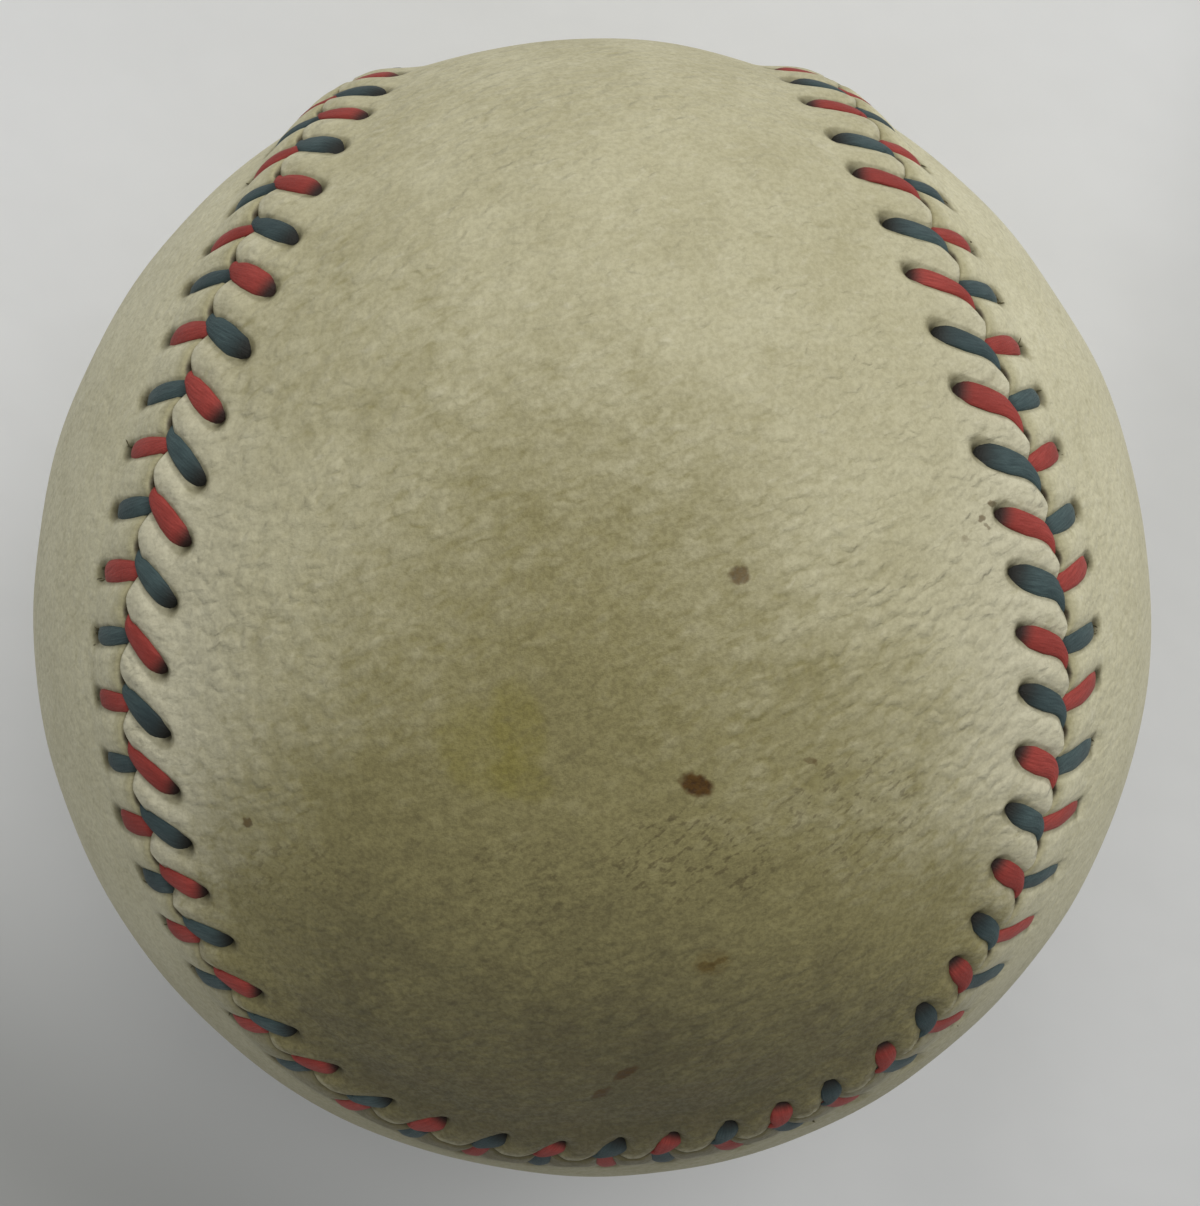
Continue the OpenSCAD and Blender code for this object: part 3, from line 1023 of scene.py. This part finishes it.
class Leather(Nodes):
    """Old leather. Soiled is how much soil from handling it has, from 0 to 1."""

    def __init__(self, name, soiled):
        super().__init__(name)
        self.soiled = soiled
        self.at = self.place()
        self.spot = self.add("SeparateXYZ", {0: self.at}).outputs
        self.along, self.away, self.to_hole = self.parts("seam")
        self.hole_dirt, self.slit_dirt, self.leg_shade_and_dirt = self.parts("dirt")
        self.add_grain()
        self.add_soil()

    def add_grain(self):
        """Pebbles, creases, fine grain and patches, each from 0 to 1."""
        bent = self.vector_sum(self.at, self.shift(self.at, BEND_SCALE))
        cells = self.add("TexVoronoi", {"Vector": self.stretch(bent, PEBBLE_SIZE, GRAIN_TILT), "Scale": 1.0,
                                        "Smoothness": PEBBLE_SMOOTHNESS}, feature="SMOOTH_F1")
        self.pebble = self.ramp(cells.outputs["Distance"], *PEBBLE_TOP)
        self.crease = self.noise(self.stretch(bent, CREASE_SIZE, GRAIN_TILT), 1.0, 2.0, 0.5)
        self.fine = self.noise(self.at, 3.2, 3.0, 0.75)
        self.patch = self.noise(self.at, 0.11, 4.0, 0.6)
        self.small_patch = self.noise(self.at, 0.55, 3.0, 0.65)

    def add_soil(self):
        """Soil from handling, thickest low on the front and less towards its sides, with painted shade low
        down.
        """
        x, y, z = self.spot
        self.sides = self.times(self.times(x, x), SIDE_RATE)
        bare_sides = self.times(self.sides, self.ramp(y, *BARE_SIDES))
        low = self.math("SUBTRACT", self.times(y, -1.0), bare_sides)
        low = self.plus(low, self.ramp(self.patch, *LOW_PATCHES))
        middle = self.add("VectorMath", {0: self.at, 1: SOIL_MIDDLE}, operation="DISTANCE").outputs["Value"]
        # Darker towards the bottom of the front: soil, and painted shade on the side that faces away from the
        # lamp
        front = self.plus(self.ramp(low, *SOIL_AND_SHADE_DOWN), self.ramp(middle, *SOIL_ROUND))
        front = self.times(front, self.ramp(z, *FRONT_HALF))
        by_seam = self.ramp(self.away, *SOIL_BY_SEAM, LESS_BY_SEAM * self.soiled, self.soiled)
        self.front = self.times(front, by_seam)
        soil = self.plus(self.front, self.ramp(self.small_patch, *SMALL_PATCHES))
        soil = self.plus(soil, self.ramp(self.patch, *PATCHES))
        if self.soiled:
            for values in SOIL_AREAS:
                soil = self.plus(soil, mark(self, self.at, *values))
        valleys = self.plus(self.ramp(self.pebble, *PEBBLE_SOIL), self.ramp(self.crease, *CREASE_SOIL))
        soil = self.plus(soil, self.times(valleys, VALLEY_SHARE))
        self.soil = self.add("Clamp", {"Value": soil}).outputs[0]

    def leather_tone(self, clean, worn, sheen_and_rub_tone):
        """The leather's own colour and its soil, with painted shade low on the front and painted highlights
        on ridges and sides.
        """
        tone = self.mix(self.ramp(self.noise(self.at, 0.2, 4.0, 0.6), *EVENLY), clean, worn)
        # Paler on the crease ridges: partly wear, partly a painted highlight
        tone = self.mix(self.ramp(self.crease, *PALE_CREASES), tone, sheen_and_rub_tone)
        # Paler towards the left and right sides of the view: a painted sheen
        painted_sheen_share = PALE_SIDES_SHARE + PALE_SIDES_SOILED * self.soiled
        tone = self.mix(self.ramp(self.sides, *PALE_SIDES, 0.0, painted_sheen_share), tone, sheen_and_rub_tone)
        tone = self.mix(self.ramp(self.soil, *HALF_SOIL), tone, HALF_SOILED)
        return self.mix(self.ramp(self.soil, *FULL_SOIL), tone, self.full_soil)

    def with_flecks(self, tone):
        """Short dark flecks in the places that have them."""
        flecked = None
        for values in FLECK_AREAS:
            area = mark(self, self.at, *values)
            flecked = area if flecked is None else self.math("MAXIMUM", flecked, area)
        streak = self.noise(self.stretch(self.at, STREAK_SIZE, STREAK_TILT), 1.0, 2.0, 0.55)
        return self.mix(self.times(self.ramp(streak, *FLECKS), flecked), tone, FLECK)

    def with_marks(self, tone):
        """Yellow, orange and rusty spots with ragged outlines."""
        ragged = self.vector_sum(self.shift(self.at, RAGGED_SCALE), (-0.5, -0.5, -0.5))
        ragged = self.add("VectorMath", {0: ragged, "Scale": RAGGED_SIZE}, operation="SCALE")
        ragged = self.vector_sum(ragged.outputs["Vector"], self.at)
        for values in YELLOW_MARKS:
            share = self.times(mark(self, ragged, *values), self.ramp(self.crease, *YELLOW_CREASES))
            tone = self.mix(share, tone, YELLOWED)
        for values in ORANGE_MARKS:
            tone = self.mix(mark(self, ragged, *values), tone, ORANGE)
        rust = self.mix(self.ramp(self.fine, *RUST_SPECKS), DEEP_RUST, RUST)
        for values in RUST_MARKS:
            tone = self.mix(mark(self, ragged, *values), tone, rust)
        return tone

    def with_edges(self, tone, sheen_and_rub_tone):
        """Soiled leather: edges paler, rubbed and a painted highlight. Clean leather: edges and underside
        darker, soil and painted shade.
        """
        if self.soiled:
            # Panel A's edge by the seam is paler: partly rubbed, partly a painted highlight where the edge
            # catches the light
            edge = self.times(self.ramp(self.away, *LIP_EDGE), self.ramp(self.leg_shade_and_dirt, *LIP_CLEAR))
            return self.mix(edge, tone, sheen_and_rub_tone)
        # Darker along the seam on panel B: partly soil, partly painted shade
        tone = self.mix(self.ramp(self.away, *SIDE_EDGE), tone, HALF_SOILED)
        # Darker low on panel B: partly soil, partly painted shade on the side that faces away from the lamp
        under_soil_and_shade = self.times(self.ramp(self.spot[1], *SIDE_UNDER), self.ramp(self.away, *SIDE_UNDER_BY_SEAM))
        return self.mix(self.times(under_soil_and_shade, SIDE_UNDER_SHARE), tone, self.full_soil)

    def with_dirt_and_shade(self, tone):
        """Fine specks all over, and grime with painted shade in the slit, in the holes and along the legs."""
        specks = self.times(self.ramp(self.fine, *SPECKS), self.ramp(self.front, *SPECKS_BY_SOIL))
        tone = self.mix(specks, tone, self.mix(1.0, tone, SPECKLE, "MULTIPLY"))
        # Dark brown in the slit between the panels: dirt and painted shade, stronger where the slit opens
        tone = self.mix(self.ramp(self.slit_dirt, *SLIT_SHADE_AND_DIRT), tone, SLIT_BROWN)
        # Painted shadow with grime in the holes' pits
        tone = self.mix(self.ramp(self.hole_dirt, *HOLE_SHADE_AND_DIRT), tone, SHADE_AND_GRIME)
        # Darker along the legs' edges, where thread meets leather: painted shade and dirt
        return self.mix(self.ramp(self.leg_shade_and_dirt, *LEG_SHADE_AND_DIRT), tone, SOILED)

    def tone(self, clean, worn, sheen_and_rub_tone, halo_share):
        self.full_soil = self.mix(self.ramp(self.small_patch, *EVENLY), SOILED, BROWN_SOIL)
        tone = self.leather_tone(clean, worn, sheen_and_rub_tone)
        if self.soiled:
            tone = self.with_flecks(tone)
            tone = self.with_marks(tone)
        halo = self.ramp(self.to_hole, *HALO_RING, 0.0, halo_share)
        tone = self.mix(self.times(halo, self.ramp(self.small_patch, *HALO_PATCHES)), tone, HALO)
        return self.with_dirt_and_shade(self.with_edges(tone, sheen_and_rub_tone))

    def relief(self):
        """Wrinkles beside the seam, creases, pebbles and fine grain, one on another."""
        away = self.times(self.away, WRINKLE_STRETCH)
        seam_at = self.add("CombineXYZ", {0: self.along, 1: away}).outputs[0]
        wrinkle = self.noise(seam_at, 1.3, 2.0, 0.55)
        rough_patch = self.ramp(self.noise(self.at, 0.16, 2.0), *ROUGH_PATCHES)
        creased = self.times(rough_patch, self.ramp(self.front, *CREASES_BY_SOIL))
        pebbled = self.times(rough_patch, self.ramp(self.front, *PEBBLES_BY_SOIL))
        share = CLEAN_RELIEF + SOILED_RELIEF * self.soiled
        normal = self.bump(self.times(wrinkle, self.ramp(self.away, *WRINKLES_BY_SEAM)), WRINKLE_HEIGHT)
        normal = self.bump(self.times(self.crease, creased), CREASE_HEIGHT * share, normal)
        normal = self.bump(self.times(self.pebble, pebbled), PEBBLE_HEIGHT * share, normal)
        return self.bump(self.fine, FINE_HEIGHT, normal)


def leather(name, clean, worn, sheen_and_rub_tone, soiled, halo_share):
    """Old leather. The last two numbers are how much soil and how dark a ring at each hole it has."""
    nodes = Leather(name, soiled)
    nodes.set(base_color=nodes.tone(clean, worn, sheen_and_rub_tone, halo_share), normal=nodes.relief(),
              roughness=nodes.ramp(nodes.fine, *LEATHER_GLOSS))
    nodes.specular(LEATHER_SPECULAR)
    return nodes.material


# Thread: how many fibres there are round it, and how fast they twist and change along it
FIBRES_ROUND = 34.0
FIBRE_TWIST = 1.5
FIBRE_RUN = 0.8
PALE_FIBRES = (0.25, 0.75, 0.35, 1.0)
PALE_STRETCHES = (0.35, 0.65, 0.45, 1.0)
MOST_SHADE_AND_GRIME = 0.95
FIBRE_HEIGHT = 0.035 * MM
FUZZ_HEIGHT = 0.04 * MM
THREAD_ROUGHNESS = 0.62
THREAD_SPECULAR = 0.25


def thread_material(name, pale, deep, faded, dark_from):
    """Twisted cotton. The last number is how high the dark measure must be before painted shade and grime
    show, from 0 to 1.
    """
    nodes = Nodes(name)
    around, run, _ = nodes.parts("strand")
    fade, dark, tuft = nodes.parts("wear_and_shade")
    twisted = nodes.plus(nodes.times(around, FIBRES_ROUND), nodes.times(run, FIBRE_TWIST))
    at = nodes.add("CombineXYZ", {0: twisted, 1: nodes.times(run, FIBRE_RUN)}).outputs[0]
    fibre = nodes.noise(at, 1.0, 3.0, 0.65)
    fuzz = nodes.noise(nodes.place(), 7.0, 2.0)
    slow = nodes.noise(nodes.place(), 0.13, 2.0)
    share = nodes.times(nodes.ramp(fibre, *PALE_FIBRES), nodes.ramp(slow, *PALE_STRETCHES))
    tone = nodes.mix(share, deep, pale)
    tone = nodes.mix(nodes.times(fade, nodes.ramp(fuzz, *EVENLY)), tone, faded)
    # Painted shade with grime at the legs' hole ends and where they go down at the seam
    tone = nodes.mix(nodes.ramp(dark, dark_from, 1.0, 0.0, MOST_SHADE_AND_GRIME), tone, SHADE_AND_GRIME)
    tone = nodes.mix(tuft, tone, FRAYED)
    normal = nodes.bump(fuzz, FUZZ_HEIGHT, nodes.bump(fibre, FIBRE_HEIGHT))
    nodes.set(base_color=tone, roughness=THREAD_ROUGHNESS, normal=normal)
    nodes.specular(THREAD_SPECULAR)
    return nodes.material


def plain_material(name, pale, deep, scale, rough, rise):
    """A moulded or granular material in two tones. The last number is its grain's height in millimetres."""
    nodes = Nodes(name)
    grain = nodes.noise(nodes.place(), scale, 4.0, 0.6)
    tone = nodes.mix(nodes.ramp(grain, 0.35, 0.65), deep, pale)
    nodes.set(base_color=tone, roughness=rough, normal=nodes.bump(grain, rise * MM))
    return nodes.material


# Wound yarn. Widths and how far its strands wander are in millimetres, and a strand's rise is a share of its
# width
BELTS = 11
BELT_HALF_W = 9.0
BELT_EDGE = 0.1
WANDER = 3.0
STRAND_SIDE = (0.0, 0.35)
STRAND_SHADE = (0.3, 0.7, 0.6, 1.0)
STRAND_RISE = 0.25
YARN_FUZZ_HEIGHT = 0.1 * MM
YARN_ROUGHNESS = 0.9


def wound_material(name, pale, deep, strand):
    """Yarn wound crosswise: belts of strands round the ball, each in its own direction, one over another."""
    nodes = Nodes(name)
    at = nodes.place()
    fuzz = nodes.noise(at, 3.0, 3.0, 0.6)
    wander = nodes.times(nodes.noise(at, 0.05, 2.0), WANDER)
    height = None
    for belt in range(BELTS):
        way = unit(rng.normal(0, 1, 3))
        along = nodes.add("VectorMath", {0: at, 1: tuple(way)}, operation="DOT_PRODUCT").outputs["Value"]
        along = nodes.plus(along, wander)
        count = nodes.math("DIVIDE", along, strand)
        strands = nodes.ramp(nodes.math("PINGPONG", count, 0.5), *STRAND_SIDE)
        if height is None:
            height = strands
        else:
            cover = nodes.ramp(nodes.math("ABSOLUTE", along), BELT_HALF_W + BELT_EDGE, BELT_HALF_W)
            height = nodes.add("Mix", {"Factor": cover, 2: height, 3: strands}).outputs[0]
    # Pale strand tops and deep gaps between the strands: painted shade in the gaps
    tone = nodes.mix(nodes.times(height, nodes.ramp(fuzz, *STRAND_SHADE)), deep, pale)
    normal = nodes.bump(fuzz, YARN_FUZZ_HEIGHT, nodes.bump(height, STRAND_RISE * strand * MM))
    nodes.set(base_color=tone, roughness=YARN_ROUGHNESS, normal=normal)
    return nodes.material


# The table: its two pale tones, and the soft shade on it at the lower left and the right of the ball, with
# distances in millimetres
TABLE = colour(0.80, 0.80, 0.795)
TABLE_PALE = colour(0.84, 0.84, 0.84)
SHADE_LEFT = colour(0.36, 0.36, 0.345)
SHADE_RIGHT = colour(0.36, 0.36, 0.355)
TABLE_RISE = 0.6 * MM
LEFT_WAY = (-0.6, 0.8)
RIGHT_SLANT = 0.3
LEFT_SHADE = (43.0, 70.0, 0.0, 0.78)
RIGHT_SHADE = (32.0, 48.0, 0.0, 0.24)
SHADE_END = (75.0, 130.0, 1.0, 0.0)
TABLE_ROUGHNESS = 0.9
TABLE_SPECULAR = 0.1


def floor_material():
    nodes = Nodes("pale_table")
    at = nodes.place()
    x, y, _ = nodes.add("SeparateXYZ", {0: at}).outputs
    tone = nodes.mix(nodes.ramp(nodes.noise(at, 0.012, 3.0, 0.5), *EVENLY), TABLE, TABLE_PALE)
    left = nodes.math("SUBTRACT", nodes.times(x, LEFT_WAY[0]), nodes.times(y, LEFT_WAY[1]))
    right = nodes.math("SUBTRACT", x, nodes.times(y, RIGHT_SLANT))
    far = nodes.add("VectorMath", {0: at}, operation="LENGTH").outputs["Value"]
    near_ball = nodes.ramp(far, *SHADE_END)
    tone = nodes.mix(nodes.times(nodes.ramp(left, *LEFT_SHADE), near_ball), tone, SHADE_LEFT)
    tone = nodes.mix(nodes.times(nodes.ramp(right, *RIGHT_SHADE), near_ball), tone, SHADE_RIGHT)
    normal = nodes.bump(nodes.noise(at, 0.05, 3.0), TABLE_RISE)
    nodes.set(base_color=tone, roughness=TABLE_ROUGHNESS, normal=normal)
    nodes.specular(TABLE_SPECULAR)
    return nodes.material


def finish(piece, material, node=None):
    piece.data.materials.clear()
    piece.data.materials.append(material)
    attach(piece, "root")
    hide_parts(node)


add_camera()
front_look = leather("handled_leather", colour(0.560, 0.520, 0.340), colour(0.485, 0.445, 0.275),
                     colour(0.67, 0.63, 0.465), 1.0, 0.45)
# Panel B's leather: cleaner, and paler than panel A's to paint more light on this side-facing panel
side_look = leather("clean_leather_painted_paler", colour(0.668, 0.624, 0.414), colour(0.592, 0.548, 0.345),
                    colour(0.70, 0.67, 0.52), 0.0, 0.65)
red_look = thread_material("red_cotton", colour(0.43, 0.070, 0.056), colour(0.19, 0.021, 0.015),
                           colour(0.44, 0.18, 0.14), 0.35)
blue_look = thread_material("blue_cotton", colour(0.080, 0.124, 0.124), colour(0.017, 0.031, 0.036),
                            colour(0.18, 0.22, 0.205), 0.0)
finish(make_panel("front_panel", 1), front_look, "cover_panel_a")
finish(make_panel("side_panel", -1), side_look, "cover_panel_b")
finish(make_thread("red_stitching", -1), red_look, "red_thread")
finish(make_thread("blue_stitching", 1), blue_look, "blue_thread")

cork = plain_material("cork", colour(0.42, 0.27, 0.14), colour(0.20, 0.11, 0.05), 0.9, 0.8, 0.2)
black_rubber = plain_material("black_rubber", colour(0.035, 0.035, 0.035), colour(0.022, 0.022, 0.024),
                              1.2, 0.55, 0.05)
red_rubber = plain_material("red_rubber", colour(0.40, 0.08, 0.05), colour(0.30, 0.05, 0.04), 1.1, 0.5, 0.05)
grey_wool = wound_material("grey_wool", colour(0.34, 0.33, 0.31), colour(0.10, 0.097, 0.092), 1.6)
white_wool = wound_material("white_wool", colour(0.72, 0.69, 0.60), colour(0.33, 0.31, 0.25), 1.3)
cotton = wound_material("cotton", colour(0.72, 0.67, 0.55), colour(0.36, 0.32, 0.24), 0.5)
LOOKS = {
    "cork_core": cork,
    "lower_rubber_shell": black_rubber,
    "upper_rubber_shell": black_rubber,
    "rubber_gasket": red_rubber,
    "red_rubber_skin": red_rubber,
    "inner_grey_winding": grey_wool,
    "white_winding": white_wool,
    "outer_grey_winding": grey_wool,
    "cotton_winding": cotton,
}
for node, look in LOOKS.items():
    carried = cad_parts[node]
    carried.data.materials.clear()
    carried.data.materials.append(look)

# Floor and light

FLOOR_W = 3.0
FLOOR_GAP = 0.2 * MM
KEY_WAY = unit(np.array([0.29, 0.60, 0.80]))
KEY_FAR = 0.80
KEY_SIZE = 0.75
KEY_POWER = 4.7
KEY_TINT = (1.0, 1.0, 0.99)
AMBIENT = 0.33
AMBIENT_TINT = (0.98, 1.0, 1.0, 1)


def add_floor():
    mesh = bpy.data.meshes.new("table_top")
    edge = FLOOR_W / 2
    corners = [(-edge, -edge, 0), (edge, -edge, 0), (edge, edge, 0), (-edge, edge, 0)]
    mesh.from_pydata(corners, [], [(0, 1, 2, 3)])
    floor = bpy.data.objects.new("table_top", mesh)
    floor.location.z = -BALL_R - FLOOR_GAP
    mesh.materials.append(floor_material())
    bpy.context.scene.collection.objects.link(floor)


def add_light(name, out, far, size, power, tint):
    """A square lamp that shines at the ball from a direction."""
    data = bpy.data.lights.new(name, "AREA")
    data.shape = "SQUARE"
    data.size = size
    data.energy = power
    data.color = tint
    light = bpy.data.objects.new(name, data)
    right = unit(np.cross((0.0, 0.0, 1.0), out))
    turned = Matrix([right, np.cross(out, right), out]).transposed().to_4x4()
    light.matrix_world = Matrix.Translation(out * far) @ turned
    bpy.context.scene.collection.objects.link(light)


def add_room():
    """Even light from all sides."""
    world = bpy.data.worlds.new("room")
    world.use_nodes = True
    bpy.context.scene.world = world
    room = world.node_tree.nodes["Background"]
    room.inputs["Color"].default_value = AMBIENT_TINT
    room.inputs["Strength"].default_value = AMBIENT


add_floor()
add_light("window", KEY_WAY, KEY_FAR, KEY_SIZE, KEY_POWER, KEY_TINT)
add_room()
bpy.context.scene.view_settings.view_transform = "Standard"
